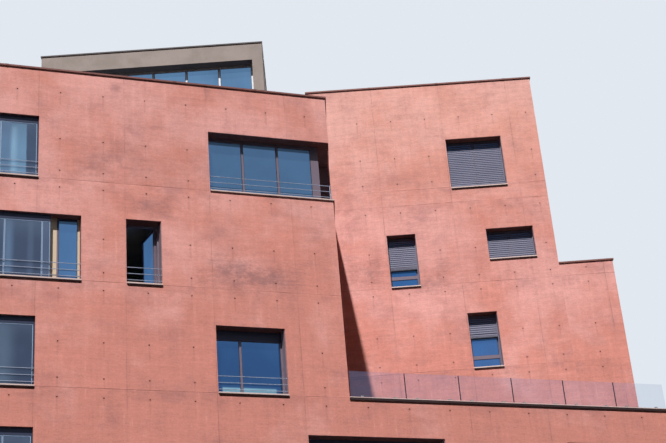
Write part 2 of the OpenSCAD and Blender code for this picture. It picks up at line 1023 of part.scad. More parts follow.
pav_x1 = -pavilion_inset;
pav_x0 = pav_x1 - pavilion_w;
pav_y1 = pavilion_setback + pavilion_d;
pav_z0 = floor_z(7);
pav_z1 = pav_z0 + pavilion_h;
pav_edge_z = pav_z1 - pavilion_edge_h;

module pavilion_shell() {
    color(pavilion_beige)
        plan() {
            block(pav_x0, pavilion_setback, pav_edge_z, pav_x1, pav_y1, pav_z1);
            for (x = [pav_x0, pav_x1 - pavilion_wall_t])
                block(x, pavilion_setback, pav_z0, x + pavilion_wall_t, pav_y1, pav_edge_z);
            block(pav_x0, pav_y1 - pavilion_wall_t, pav_z0, pav_x1, pav_y1, pav_edge_z);
        }
}

module pavilion_trim() {
    color(metal_dark)
        plan() {
            block(pav_x0 - trim_out, pavilion_setback - trim_out, pav_z1,
                pav_x1 + trim_out, pav_y1 + trim_out, pav_z1 + trim_h);
            block(pav_x1, pavilion_setback - trim_out, pav_z0,
                pav_x1 + trim_out, pavilion_setback + trim_h, pav_z1);
        }
}

pavilion_opening = [
    pav_x0 + pavilion_wall_t, pavilion_w - 2 * pavilion_wall_t, pav_z0, pav_edge_z,
    [for (i = [1 : pavilion_bays]) 1]
];

// Moves a window from its place in a wall to the pavilion's glazing line.
module pavilion_front() {
    plan()
        translate([0, pavilion_setback + pavilion_recess - reveal, 0])
            children();
}

module pavilion_frames() {
    color(metal_light)
        pavilion_front()
            frame_bars(pavilion_opening, frame_w);
}

module pavilion_glass() {
    color(pane_blue)
        pavilion_front()
            panes(pavilion_opening, frame_w);
}

module entrance_frame() {
    color(metal_dark)
        street_front()
            translate([door_x, reveal, foundation_h])
                difference() {
                    cube([door_w, frame_d, door_h]);
                    translate([frame_w, -eps, -eps])
                        cube([
                            door_w - 2 * frame_w, frame_d + 2 * eps, door_h - frame_w + eps
                        ]);
                }
}

module entrance_door() {
    color(metal_dark)
        street_front()
            translate([door_x + frame_w, reveal + (frame_d - door_t) / 2, foundation_h])
                cube([door_w - 2 * frame_w, door_t, door_h - frame_w]);
}

foundation_slab();
lower_front_wall();
wing_front_wall();
wing_side_wall();
left_end_wall();
wing_rear_wall();
tower_rear_wall();
right_wall();
tower_front_wall();
tower_left_wall();
tower_right_wall();
step_walls();
lower_floor_slabs();
terrace_slab();
floor_slab_5();
floor_slab_6();
wing_roof_slab();
tower_top_floor();
tower_roof_slab();
step_roof_slab();
wing_coping();
tower_coping();
step_coping();
terrace_edge();
front_window_frames();
front_window_glass();
reveal_linings();
balcony_glass();
corner_window_frame();
corner_window_glass();
open_casement();
tower_window_frames();
tower_window_glass();
plain_window_frames();
plain_window_glass();
window_blinds();
window_sills();
guard_rails();
terrace_balustrade();
pavilion_shell();
pavilion_trim();
pavilion_frames();
pavilion_glass();
entrance_frame();
entrance_door();
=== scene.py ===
import math
import bpy
import bmesh
from mathutils import Matrix, Vector
from mathutils.bvhtree import BVHTree


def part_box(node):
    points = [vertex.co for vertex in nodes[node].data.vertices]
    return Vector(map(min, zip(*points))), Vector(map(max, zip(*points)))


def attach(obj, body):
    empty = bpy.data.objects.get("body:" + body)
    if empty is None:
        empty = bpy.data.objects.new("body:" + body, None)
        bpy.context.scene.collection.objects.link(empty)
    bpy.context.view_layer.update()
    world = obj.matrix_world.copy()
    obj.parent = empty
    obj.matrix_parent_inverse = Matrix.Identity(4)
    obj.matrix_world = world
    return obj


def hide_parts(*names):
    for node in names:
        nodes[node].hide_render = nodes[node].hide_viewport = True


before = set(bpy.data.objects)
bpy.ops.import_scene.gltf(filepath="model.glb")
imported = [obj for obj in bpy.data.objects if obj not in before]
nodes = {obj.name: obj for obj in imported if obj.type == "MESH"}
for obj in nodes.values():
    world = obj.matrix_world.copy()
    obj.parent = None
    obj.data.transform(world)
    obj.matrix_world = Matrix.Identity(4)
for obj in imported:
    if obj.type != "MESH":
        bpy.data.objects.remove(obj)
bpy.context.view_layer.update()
print("frame loaded,", len(nodes), "nodes")

# places that the whole block shares
block = {
    "turn": math.radians(18.2),  # street front against the tower's front
    "storey": 3.03,
}
storey = block["storey"]
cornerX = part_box("wing_side_wall")[1].x  # free corner of the wing
frontLow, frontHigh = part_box("wing_front_wall")
cornerY = frontLow.y + (frontHigh.x - frontLow.x) * math.tan(block["turn"])
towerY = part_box("tower_front_wall")[0].y
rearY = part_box("tower_rear_wall")[1].y
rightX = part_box("right_wall")[1].x
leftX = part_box("left_end_wall")[0].x
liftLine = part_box("lower_front_wall")[1].z  # one lift of concrete ends here, the others a storey apart

# formwork of each side, in metres along it from its origin: a column of tie holes and their pitch, a panel
# joint and the panels' width, the height that the joints reach, bands without holes, and the heights between
# which the concrete turns paler, with the share that it reaches
plain = {
    "column": 0.6, "pitch": 1.2, "joint": 0.0, "panel": 2.4, "lineTop": 23.5,
    "quiet": ((23.8, 24.5),), "pale": (22.0, 30.0, 0.15), "stains": (),
}
formwork = {
    "street": {
        **plain, "angle": block["turn"], "origin": (cornerX, cornerY, 0), "column": -0.69, "joint": -1.29,
        "stains": (  # along, height, half width, half height, strength
            (-6.5, 21.65, 1.1, 0.62, 0.5),
            (-5.4, 20.25, 0.75, 0.36, 0.55),
            (-2.55, 18.35, 1.5, 0.5, 0.75),
            (-3.3, 19.2, 0.55, 1.1, 0.3),
            (-6.33, 24.06, 0.17, 0.17, 0.4),
            (-3.62, 24.15, 0.12, 0.24, 0.45),
            (-1.0, 20.9, 0.5, 1.3, 0.2)),
    },
    "tower": {
        **plain, "angle": 0.0, "origin": (cornerX, towerY, 0), "column": 1.243, "pitch": 1.195,
        "joint": 1.84, "panel": 2.39, "lift": 0.59, "liftFrom": 24.2, "lineTop": 26.5,
        "quiet": ((23.8, 24.62), (27.6, 28.7)), "pale": (22.0, 28.0, 0.3),
        "stains": (
            (1.05, 21.5, 0.6, 0.6, 0.65),
            (3.25, 21.3, 0.6, 0.6, 0.5),
            (2.2, 24.95, 1.9, 0.34, 0.2),
            (3.9, 19.6, 1.0, 1.4, 0.2)),
    },
    "side": {**plain, "angle": math.pi / 2, "origin": (cornerX, cornerY, 0), "column": 1.1, "joint": 1.7},
    "right": {**plain, "angle": math.pi / 2, "origin": (rightX, towerY, 0), "joint": 1.2},
    "rear": {
        **plain, "angle": 0.0, "origin": (cornerX, rearY, 0), "joint": 1.2, "lineTop": 26.5, "quiet": ()},
    "left": {**plain, "angle": math.pi / 2, "origin": (leftX, rearY, 0)},
    "towerSide": {
        **plain, "angle": math.pi / 2, "origin": (cornerX, towerY, 0), "lineTop": 26.5, "quiet": ()},
}


def srgb(red, green, blue):
    shares = (red / 255, green / 255, blue / 255)
    return tuple(c / 12.92 if c <= 0.04045 else ((c + 0.055) / 1.055) ** 2.4 for c in shares) + (1,)


class Wire:
    def __init__(self, shader, socket):
        self.shader = shader
        self.socket = socket

    def maths(self, operation, a, b):
        return self.shader.add("Math", {"operation": operation}, {0: a, 1: b})

    def __add__(self, other):
        return self.maths("ADD", self, other)

    def __radd__(self, other):
        return self.maths("ADD", other, self)

    def __sub__(self, other):
        return self.maths("SUBTRACT", self, other)

    def __rsub__(self, other):
        return self.maths("SUBTRACT", other, self)

    def __mul__(self, other):
        return self.maths("MULTIPLY", self, other)

    def __rmul__(self, other):
        return self.maths("MULTIPLY", other, self)

    def __truediv__(self, other):
        return self.maths("DIVIDE", self, other)

    def __rtruediv__(self, other):
        return self.maths("DIVIDE", other, self)

    def __gt__(self, other):
        return self.maths("GREATER_THAN", self, other)

    def __mod__(self, other):
        return self.maths("FLOORED_MODULO", self, other)

    def __rmod__(self, other):
        return self.maths("FLOORED_MODULO", other, self)

    def __abs__(self):
        return self.maths("ABSOLUTE", self, 0)


class Shader:
    def __init__(self, owner):
        self.owner = owner  # a new material's name, or a world
        if isinstance(owner, str):
            self.owner = bpy.data.materials.new(owner)
        self.owner.use_nodes = True
        self.tree = self.owner.node_tree
        self.tree.nodes.clear()

    def add(self, kind, settings=None, sockets=None, out=0):
        node = self.tree.nodes.new("ShaderNode" + kind)
        for key, value in (settings or {}).items():
            setattr(node, key, value)
        for key, value in (sockets or {}).items():
            if isinstance(value, Wire):
                self.tree.links.new(value.socket, node.inputs[key])
            else:
                node.inputs[key].default_value = value
        return Wire(self, node.outputs[out]) if len(node.outputs) else None

    def place(self, angle=0.0, origin=(0, 0, 0)):
        # object coordinates turned into along, depth and height of one face
        back = Matrix.Rotation(-angle, 3, "Z")
        return self.add("Mapping", {}, {
            "Vector": self.add("TexCoord", out="Object"),
            "Location": -(back @ Vector(origin)),
            "Rotation": (0, 0, -angle),
        })

    def split(self, vector):
        first = self.add("SeparateXYZ", {}, {0: vector})
        return [Wire(self, output) for output in first.socket.node.outputs]

    def join(self, x, y, z):
        return self.add("CombineXYZ", {}, {0: x, 1: y, 2: z})

    def stretch(self, vector, scale):
        return self.add("VectorMath", {"operation": "MULTIPLY"}, {0: vector, 1: scale})

    def shift(self, vector, way):
        return self.add("VectorMath", {"operation": "ADD"}, {0: vector, 1: way})

    def noise(self, vector, scale, detail=3.0, roughness=0.55, distortion=0.0):
        return self.add("TexNoise", {"noise_dimensions": "3D"}, {
            "Vector": vector, "Scale": scale, "Detail": detail, "Roughness": roughness,
            "Distortion": distortion})

    def ease(self, value, low, high):
        return self.add("MapRange", {"interpolation_type": "SMOOTHSTEP"}, {
            "Value": value, "From Min": low, "From Max": high, "To Min": 0.0, "To Max": 1.0})

    def band(self, value, low, high, soft=0.01):
        # 1 between two limits
        return self.ease(value, low - soft, low + soft) * (1 - self.ease(value, high - soft, high + soft))

    def floorOf(self, value):
        return self.add("Math", {"operation": "FLOOR"}, {0: value})

    def most(self, a, b):
        return self.add("Math", {"operation": "MAXIMUM"}, {0: a, 1: b})

    def toLine(self, value, start, pitch):
        # distance from the nearest of many lines, one every pitch
        return abs((value - start + pitch / 2) % pitch - pitch / 2)

    def blend(self, mask, a, b):
        # a Mix node keeps its colours in sockets 6 and 7, and the mixed colour in output 2
        return self.add("Mix", {"data_type": "RGBA"}, {0: mask, 6: a, 7: b}, out=2)

    def tone(self, colour, factor):
        return self.add("VectorMath", {"operation": "SCALE"}, {0: colour, "Scale": factor})

    def bump(self, height, distance, strength=1.0):
        return self.add("Bump", {}, {"Height": height, "Distance": distance, "Strength": strength})

    def lookingDown(self):
        # 1 on soffits, where shade is painted
        facing = self.split(self.add("NewGeometry", out="Normal"))[2]
        return self.ease(facing, -0.3, -0.8)

    def onFace(self, side):
        # along, depth and height on one side of the block
        form = formwork[side]
        return self.split(self.place(form["angle"], form["origin"]))

    def finish(self, sockets):
        surface = self.add("BsdfPrincipled", {}, sockets)
        self.add("OutputMaterial", {}, {"Surface": surface})
        return self.owner


# red formed concrete
concreteLook = {
    "pink": srgb(220, 161, 156),
    "orange": srgb(206, 138, 127),
    "violet": srgb(168, 118, 120),
    "pale": srgb(236, 190, 176),
    "stain": srgb(104, 70, 70),
    "smoke": srgb(150, 108, 108),
    "marks": {  # noises: stretch along, in depth and up, then scale, detail, roughness, distortion
        "cloud": ((1, 1, 1), 0.3, 5, 0.65, 0.2),
        "patch": ((1, 1, 1.3), 0.9, 8, 0.7, 0.15),
        "blot": ((1, 1, 1.6), 2.6, 7, 0.76, 0.1),
        "streak": ((6.5, 6.5, 0.4), 1.0, 5, 0.65, 0.0),  # ran down the wall
        "fibre": ((0.9, 0.9, 9.0), 1.0, 6, 0.72, 0.0),  # level, printed by the panels
        "thread": ((8.0, 8.0, 22.0), 1.0, 5, 0.75, 0.0),
        "grain": ((1, 1, 1), 20, 5, 0.78, 0.0),
        "skin": ((1, 1, 1), 7.0, 6, 0.65, 0.0),
        "wobble": ((1, 1, 1), 3.0, 3, 0.6, 0.0),
        "broken": ((1, 1, 1), 0.7, 3, 0.55, 0.0),  # where the lines between panels fade
        "airy": ((1, 1, 1), 2.3, 2, 0.55, 0.0),  # where the pinholes are
    },
    "orangeLow": (24.0, 13.0),  # heights between which the concrete turns from pink to orange
    "violetShare": 0.5,
    "panelTone": 0.06,  # how far the tones of panels and lifts lie apart
    "topLight": (16.0, 26.0, 0.05),
    "tones": {"streak": 0.24, "fibre": 0.4, "thread": 0.42, "grain": 0.5, "blot": 0.34, "patch": -0.2},
    # painted shade on the windows' reveals, and more of it on their soffits
    "paintedRevealShade": 0.55,
    "paintedSoffitShade": 0.2,
    "paleStreaks": 0.35,
    "ragged": {"fibre": 0.9, "blot": 1.6, "thread": 0.8},  # the smudges' outlines
    "liftLine": (0.003, 0.02),  # half widths at which a line starts to fade and is gone
    "jointLine": (0.002, 0.014),
    "seamShare": 0.34,
    "bleedReach": 0.5,  # smoke below the lifts' joints
    "bleedShare": 0.26,
    "edgeReach": 0.12,  # smoke beside the panels' joints
    "edgeShare": 0.22,
    "haloReach": (0.015, 0.07),
    "haloShare": 0.16,
    "dripWidth": (0.004, 0.04),
    "dripFall": (-0.4, -0.03),
    "dripShare": 0.12,
    "pinholeScale": 9.0,
    "pinholeSize": (0.05, 0.12),
    "pinholeShare": 0.4,
    "specular": 0.04,
    "rough": 0.78,
    "relief": 0.004,
    "reliefs": {"skin": 0.5, "grain": 0.18, "patch": 0.6, "fibre": 0.3},
    "rows": (0.27, 1.275, 2.775),  # heights of the tie holes over each lift's foot
}


class FormedConcrete(Shader):
    def __init__(self, name, side, seed):
        super().__init__(name)
        self.form = formwork[side]
        self.seed = seed
        spot = self.place(self.form["angle"], self.form["origin"])
        self.along, self.depth, self.height = self.split(spot)
        self.level = self.height
        if "liftFrom" in self.form:  # the top lift stands on a raised line
            self.level = self.height - (self.height > self.form["liftFrom"]) * self.form["lift"]
        self.shifted = self.shift(spot, (seed, seed * 0.7, 0))
        self.marks = {
            key: self.noise(self.stretch(self.shifted, drawn), *settings)
            for key, (drawn, *settings) in concreteLook["marks"].items()}
        lineTop = self.form["lineTop"]
        self.lined = 1 - self.ease(self.height, lineTop - 0.2, lineTop)
        self.jointGap = self.toLine(self.along, self.form["joint"], self.form["panel"])

    def uneven(self, **shares):
        # marks added up round zero, each by its share
        return sum((self.marks[key] - 0.5) * share for key, share in shares.items())

    def poured(self):
        # clouds of pink, orange and violet left by the pour
        look = concreteLook
        lowDown = self.ease(self.height, *look["orangeLow"])
        warm = self.ease(self.marks["cloud"] + lowDown * 0.2, 0.42, 0.68)
        colour = self.blend(warm, look["pink"], look["orange"])
        low, high, share = self.form["pale"]
        colour = self.blend(self.ease(self.height, low, high) * share, colour, look["pale"])
        violet = self.ease(self.marks["patch"] + self.uneven(blot=0.6), 0.48, 0.8)
        return self.blend(violet * look["violetShare"], colour, look["violet"])

    def shaded(self, colour):
        # every panel and every lift has its own tone, and the wall is lighter towards its top
        look = concreteLook
        column = self.floorOf((self.along - self.form["joint"]) / self.form["panel"])
        row = self.floorOf((self.level - liftLine) / storey)
        panel = self.add("TexWhiteNoise", {"noise_dimensions": "3D"}, {
            "Vector": self.join(column, row, self.seed)})
        lift = self.add("TexWhiteNoise", {"noise_dimensions": "2D"}, {"Vector": self.join(row, self.seed, 0)})
        low, high, share = look["topLight"]
        tone = 0.98 + (panel - 0.5) * look["panelTone"] + (lift - 0.5) * look["panelTone"]
        tone = tone + self.ease(self.height, low, high) * share + self.uneven(**look["tones"])
        # painted shade: the windows' reveals are darker, and most of all their soffits
        shade = self.lookingDown() * look["paintedSoffitShade"] + look["paintedRevealShade"]
        colour = self.tone(colour, tone * (1 - self.ease(abs(self.depth), 0.015, 0.05) * shade))
        paleRun = self.ease(self.marks["streak"] + self.uneven(blot=0.4), 0.6, 0.8)
        return self.blend(paleRun * look["paleStreaks"], colour, look["pale"])

    def smudged(self, colour):
        # smoky level smudges, where the photographed fronts have them
        ragged = self.uneven(**concreteLook["ragged"])
        cloudy = self.ease(self.marks["patch"] + self.uneven(blot=1.0), 0.3, 0.65)
        for place, lift, halfWidth, halfHeight, strength in self.form["stains"]:
            away = self.most(abs(self.along - place) / halfWidth, abs(self.height - lift) / halfHeight)
            smudge = (1 - self.ease(away + ragged, 0.35, 1.25)) * (cloudy * strength)
            colour = self.blend(smudge, colour, concreteLook["smoke"])
        return colour

    def seams(self):
        # broken lines between lifts and panels
        liftGap = self.toLine(self.level, liftLine, storey)
        wobble = self.uneven(wobble=0.03)
        fade = self.ease(self.marks["broken"], 0.36, 0.62)
        liftMask = 1 - self.ease(liftGap + wobble, *concreteLook["liftLine"])
        jointMask = 1 - self.ease(self.jointGap + wobble, *concreteLook["jointLine"])
        return self.most(liftMask * self.lined * (fade * 0.75 + 0.25), jointMask * (fade * 0.85 + 0.1))

    def smoked(self, colour):
        # smoke below the lifts' joints and beside the panels' joints
        look = concreteLook
        below = (liftLine - self.level) % storey
        bleed = 1 - self.ease(below + self.uneven(blot=0.7), 0.0, look["bleedReach"])
        bleed = bleed * self.ease(self.marks["patch"], 0.42, 0.62) * self.lined
        colour = self.blend(bleed * look["bleedShare"], colour, look["smoke"])
        edge = 1 - self.ease(self.jointGap + self.uneven(streak=0.2), 0.0, look["edgeReach"])
        edge = edge * self.ease(self.marks["blot"], 0.42, 0.7)
        return self.blend(edge * look["edgeShare"], colour, look["smoke"])

    def haloed(self, colour):
        # a faint halo and a drip below every tie hole
        look = concreteLook
        columnGap = self.toLine(self.along, self.form["column"], self.form["pitch"])
        rise = (self.level - liftLine) % storey
        halo = 0.0
        for place in look["rows"]:
            fall = rise - place
            ring = self.add("Math", {"operation": "SQRT"}, {0: columnGap * columnGap + fall * fall})
            near = 1 - self.ease(ring + self.uneven(blot=0.06), *look["haloReach"])
            drip = 1 - self.ease(columnGap + self.uneven(streak=0.06), *look["dripWidth"])
            drip = self.band(fall, *look["dripFall"], 0.03) * drip
            halo = near * look["haloShare"] + drip * look["dripShare"] + halo
        for low, high in self.form["quiet"]:
            halo = halo * (1 - self.band(self.height, low, high, 0.03))
        return self.blend(halo, colour, look["stain"])

    def pinholes(self):
        # small holes left by air
        cells = self.add("TexVoronoi", {"feature": "F1"}, {
            "Vector": self.shifted, "Scale": concreteLook["pinholeScale"], "Randomness": 1.0})
        return (1 - self.ease(cells, *concreteLook["pinholeSize"])) * self.ease(self.marks["airy"], 0.42, 0.6)


def formedConcrete(name, side, seed):
    look = concreteLook
    wall = FormedConcrete(name, side, seed)
    seam = wall.seams()
    pit = wall.pinholes()
    colour = wall.smudged(wall.shaded(wall.poured()))
    colour = wall.blend(seam * look["seamShare"], colour, look["stain"])
    colour = wall.haloed(wall.smoked(colour))
    colour = wall.blend(pit * look["pinholeShare"], colour, look["stain"])
    relief = wall.uneven(**look["reliefs"]) - seam * 1.6 - pit * 0.9
    return wall.finish({
        "Base Color": colour, "Roughness": look["rough"] + wall.uneven(skin=0.25) + seam * 0.1,
        "Specular IOR Level": look["specular"], "Normal": wall.bump(relief, look["relief"], 0.6)})


def dull(name, colour, other, scale, rough=0.85, relief=0.003, paintedSoffitShade=0.0):
    mat = Shader(name)
    spot = mat.place()
    wide = mat.noise(spot, scale, 5, 0.6, 0.3)
    fine = mat.noise(spot, scale * 14, 5, 0.7)
    shade = mat.blend(mat.ease(wide, 0.35, 0.68), colour, other)
    tone = 1 + (fine - 0.5) * 0.2
    # painted shade on faces that look down
    if paintedSoffitShade:
        tone = tone - mat.lookingDown() * paintedSoffitShade
    shade = mat.tone(shade, tone)
    return mat.finish({
        "Base Color": shade, "Roughness": rough + (fine - 0.5) * 0.15, "Specular IOR Level": 0.1,
        "Normal": mat.bump(wide * 0.4 + fine * 0.6, relief, 0.5)})


metalLook = {
    "dirtShare": 0.35,
    # painted shade on the blind boxes, at these heights
    "paintedHeadBoxShade": (1.66, 1.96),  # heights of the blind boxes over each storey's sill
    "specular": 0.15,
}


def coatedMetal(name, colour, dirt, metallic=0.1, rough=0.42, brush=(1, 1, 1), zones=(), paintedHeadBoxShade=None):
    # brush: how the grain is drawn out
    # zones: colour, side, and lowest and highest corners on that side, for a part in another coating or for
    # painted shade
    # the blind boxes in the windows' heads: colour of the painted shade on them
    mat = Shader(name)
    spot = mat.place()
    grain = mat.noise(mat.stretch(spot, brush), 40, 4, 0.6)
    cloud = mat.noise(spot, 1.6, 5, 0.6, 0.3)
    spots = mat.noise(spot, 18, 3, 0.7)
    soiled = mat.ease(cloud + (spots - 0.5) * 0.5, 0.42, 0.75)
    shade = mat.blend(soiled * metalLook["dirtShare"], colour, dirt)
    # painted shade on the blind boxes in the windows' heads
    if paintedHeadBoxShade:
        height = mat.split(spot)[2]
        shade = mat.blend(mat.band((height - liftLine) % storey, *metalLook["paintedHeadBoxShade"]), shade, paintedHeadBoxShade)
    for zoneColour, side, low, high in zones:
        inside = 1.0
        for value, least, greatest in zip(mat.onFace(side), low, high):
            inside = mat.band(value, least, greatest, 0.002) * inside
        shade = mat.blend(inside, shade, zoneColour)
    shade = mat.tone(shade, 1 + (grain - 0.5) * 0.14)
    return mat.finish({
        "Base Color": shade, "Metallic": metallic, "Specular IOR Level": metalLook["specular"],
        "Roughness": rough + (cloud - 0.5) * 0.2 + (grain - 0.5) * 0.1,
        "Normal": mat.bump(grain * 0.5 + cloud, 0.0012, 0.35)})


# the panes' colours are painted reflections of the sky, part of which they give off as glow though they are
# no lamps
glassLook = {
    "metallic": 0.85,
    "rough": 0.04,
    "glow": 0.3,  # share of the sky's colour that the pane gives itself
    "index": 1.5,
    "glowStrength": 0.8,
    "headFade": (0.9, 1.9),  # heights over each storey's sill
    "headShare": 0.5,
}


def skyGlass(name, low, high, lowZ, highZ, alpha, metallic=glassLook["metallic"], glow=glassLook["glow"],
             zones=(), headReflection=None, leaf=None, specular=0.5):
    # zones: colour, side, lowest and highest corners there, and softness, of a painted reflection in another
    # tone the head's colour: the painted reflection that the upper part of each pane fades to
    # leaf: lowest and highest place along and in depth of the swung leaf, and how much brighter it glows with
    # its painted sky reflection
    # the pane's colour is a painted sky reflection that runs from low at lowZ to high at highZ
    mat = Shader(name)
    spot = mat.place()
    height = mat.split(spot)[2]
    cloud = mat.noise(spot, 0.7, 3, 0.5, 0.4)
    wave = mat.noise(spot, 1.8, 2, 0.5)
    film = mat.noise(mat.stretch(spot, (14, 14, 3)), 1.0, 4, 0.6)
    shade = mat.blend(mat.ease(height + (cloud - 0.5) * 4, lowZ, highZ), low, high)
    for zoneColour, side, least, greatest, soft in zones:
        paneAlong, _, paneHeight = mat.onFace(side)
        inside = mat.band(paneAlong + (film - 0.5) * 0.04, least[0], greatest[0], soft)
        inside = inside * mat.band(paneHeight, least[1], greatest[1], soft)
        shade = mat.blend(inside, shade, zoneColour)
    # painted reflection, lighter towards each pane's head
    if headReflection:
        inPane = (height - liftLine) % storey
        upper = mat.ease(inPane + (cloud - 0.5) * 1.6, *glassLook["headFade"])
        shade = mat.blend(upper * glassLook["headShare"], shade, headReflection)
    shade = mat.tone(shade, 1 + (cloud - 0.5) * 0.35 + (film - 0.5) * 0.12)
    shine = shade
    # the swung leaf glows brighter with a painted sky reflection
    if leaf:
        leafAlong, leafDepth, _ = mat.onFace("street")
        inside = mat.band(leafAlong, *leaf["along"]) * mat.band(leafDepth, *leaf["depth"])
        shine = mat.tone(shade, 1 + inside * leaf["brighter"])
    return mat.finish({
        "Base Color": mat.tone(shade, 1 - glow), "Metallic": metallic, "IOR": glassLook["index"],
        "Specular IOR Level": specular,
        "Roughness": glassLook["rough"] + film * 0.04, "Alpha": alpha + (film - 0.5) * 0.04,
        "Emission Color": shine, "Emission Strength": glow * glassLook["glowStrength"],
        "Normal": mat.bump(wave, 0.003, 0.2)})


def dress(names, material):
    for name in names:
        piece = nodes[name]
        piece.data.materials.clear()
        piece.data.materials.append(material)


tieCone = coatedMetal("tieHoleMortar", srgb(136, 92, 88), srgb(96, 68, 66), metallic=0.0, rough=0.9)
print("concrete and metal shaders")

# walls with their tie holes
tieHole = {
    "mouth": 0.02,
    "bottom": 0.015,
    "depth": 0.022,
    "sides": 14,
    "clear": 0.075,  # plain wall that a hole needs round it
    "edge": 0.1,  # and over and under it
    "probe": 0.3,  # distance from which the wall is felt
    "flat": 0.004,  # and how far its face may lie off
    "lifts": 6,
    "columns": 30,
}


def tieRows(form, lowest, highest):
    rows = []
    for lift in range(-tieHole["lifts"], tieHole["lifts"]):
        for place in concreteLook["rows"]:
            z = liftLine + lift * storey + place
            if z > form.get("liftFrom", math.inf):
                z += form["lift"]
            if lowest < z < highest and not any(low < z < high for low, high in form["quiet"]):
                rows.append(z)
    return rows


def mergedCopy(node, pieceName):
    # a copy of a wall whose loose triangles are merged into flat faces, and a tree that feels it
    mesh = nodes[node].data.copy()
    mesh.name = pieceName
    shell = bmesh.new()
    shell.from_mesh(mesh)
    bmesh.ops.remove_doubles(shell, verts=shell.verts, dist=0.0001)
    bmesh.ops.dissolve_limit(shell, angle_limit=math.radians(0.5), verts=shell.verts, edges=shell.edges)
    tree = BVHTree.FromBMesh(shell)
    shell.to_mesh(mesh)
    shell.free()
    mesh.materials.clear()
    piece = bpy.data.objects.new(pieceName, mesh)
    bpy.context.scene.collection.objects.link(piece)
    return piece, tree


def isPlain(tree, centre, along, up, inward):
    # whether the wall is flat round the place of a tie hole
    for s, t in ((0, 0), (1, 0), (-1, 0), (0, 1), (0, -1)):
        start = centre + (along * s + up * t) * tieHole["clear"] - inward * tieHole["probe"]
        place, _, _, distance = tree.ray_cast(start, inward, tieHole["probe"] + 0.01)
        if place is None or abs(distance - tieHole["probe"]) >= tieHole["flat"]:
            return False
    return True


def holeCones(side, tree, low, high):
    # a cone for every tie hole between a wall's lowest and highest corner, and how many there are
    form = formwork[side]
    up = Vector((0, 0, 1))
    along = Vector((math.cos(form["angle"]), math.sin(form["angle"]), 0))
    inward = Vector((-math.sin(form["angle"]), math.cos(form["angle"]), 0))
    if side in ("rear", "left"):
        inward = -inward
    turned = Matrix((up.cross(inward), up, inward)).transposed().to_4x4()  # local Z points into the wall
    cones = bmesh.new()
    count = 0
    for step in range(-tieHole["columns"], tieHole["columns"] + 1):
        for z in tieRows(form, low.z + tieHole["edge"], high.z - tieHole["edge"]):
            centre = Vector(form["origin"]) + along * (form["column"] + step * form["pitch"]) + up * z
            if isPlain(tree, centre, along, up, inward):
                middle = centre + inward * (tieHole["depth"] / 2 - 0.001)  # 1 mm stands out of the wall
                bmesh.ops.create_cone(
                    cones, cap_ends=True, segments=tieHole["sides"], radius1=tieHole["mouth"],
                    radius2=tieHole["bottom"], depth=tieHole["depth"] + 0.002,
                    matrix=Matrix.Translation(middle) @ turned)
                count += 1
    return cones, count


def drill(piece, cones):
    # the cones cut out of the wall, with mortar on the faces that they leave
    cutMesh = bpy.data.meshes.new(piece.name + "Cutter")
    cones.to_mesh(cutMesh)
    cutMesh.materials.append(tieCone)
    cutter = bpy.data.objects.new(piece.name + "Cutter", cutMesh)
    bpy.context.scene.collection.objects.link(cutter)
    cut = piece.modifiers.new("tieHoles", "BOOLEAN")
    cut.operation = "DIFFERENCE"
    cut.solver = "EXACT"
    cut.material_mode = "TRANSFER"
    cut.object = cutter
    drilled = bpy.data.meshes.new_from_object(piece.evaluated_get(bpy.context.evaluated_depsgraph_get()))
    piece.modifiers.clear()
    piece.data = drilled
    drilled.name = piece.name
    bpy.data.objects.remove(cutter)
    bpy.data.meshes.remove(cutMesh)


def formedWall(node, pieceName, side, seed):
    piece, tree = mergedCopy(node, pieceName)
    piece.data.materials.append(formedConcrete(pieceName, side, seed))
    cones, count = holeCones(side, tree, *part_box(node))
    if count:
        drill(piece, cones)
    cones.free()
    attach(piece, "root")
    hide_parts(node)
    print("  ", pieceName, count, "tie holes,", len(piece.data.polygons), "faces")


for node, pieceName, side, seed in (
    ("lower_front_wall", "lowerFrontConcrete", "street", 0.0),
    ("wing_front_wall", "wingFrontConcrete", "street", 0.0),
    ("wing_side_wall", "wingSideConcrete", "side", 3.0),
    ("left_end_wall", "leftEndConcrete", "left", 5.0),
    ("wing_rear_wall", "wingRearConcrete", "rear", 7.0),
    ("tower_rear_wall", "towerRearConcrete", "rear", 7.0),
    ("right_wall", "rightConcrete", "right", 9.0),
    ("tower_front_wall", "towerFrontConcrete", "tower", 11.0),
    ("step_walls", "stepConcrete", "tower", 12.0),
    ("tower_left_wall", "towerLeftConcrete", "towerSide", 13.0),
    ("tower_right_wall", "towerRightConcrete", "towerSide", 14.0),
):
    formedWall(node, pieceName, side, seed)

# the foot of the step's front wall runs into the right wall's top, so its end is drawn in there
stepFoot = {"drawnIn": 0.003, "depth": 1.0}
for vertex in bpy.data.objects["stepConcrete"].data.vertices:
    atEnd = vertex.co.x > rightX - 0.01 and vertex.co.y < towerY + stepFoot["depth"]
    if atEnd and vertex.co.z < liftLine:
        vertex.co.x -= stepFoot["drawnIn"]
print("walls")

# floors and roofs
dress(["foundation_slab", "lower_floor_slabs", "floor_slab_5", "floor_slab_6", "tower_top_floor"],
      dull("floorConcrete", srgb(176, 172, 166), srgb(150, 146, 140), 0.8))
dress(["terrace_slab", "wing_roof_slab", "tower_roof_slab", "step_roof_slab"],
      dull("roofGravel", srgb(150, 144, 136), srgb(118, 112, 106), 6.0, rough=0.9, relief=0.02))

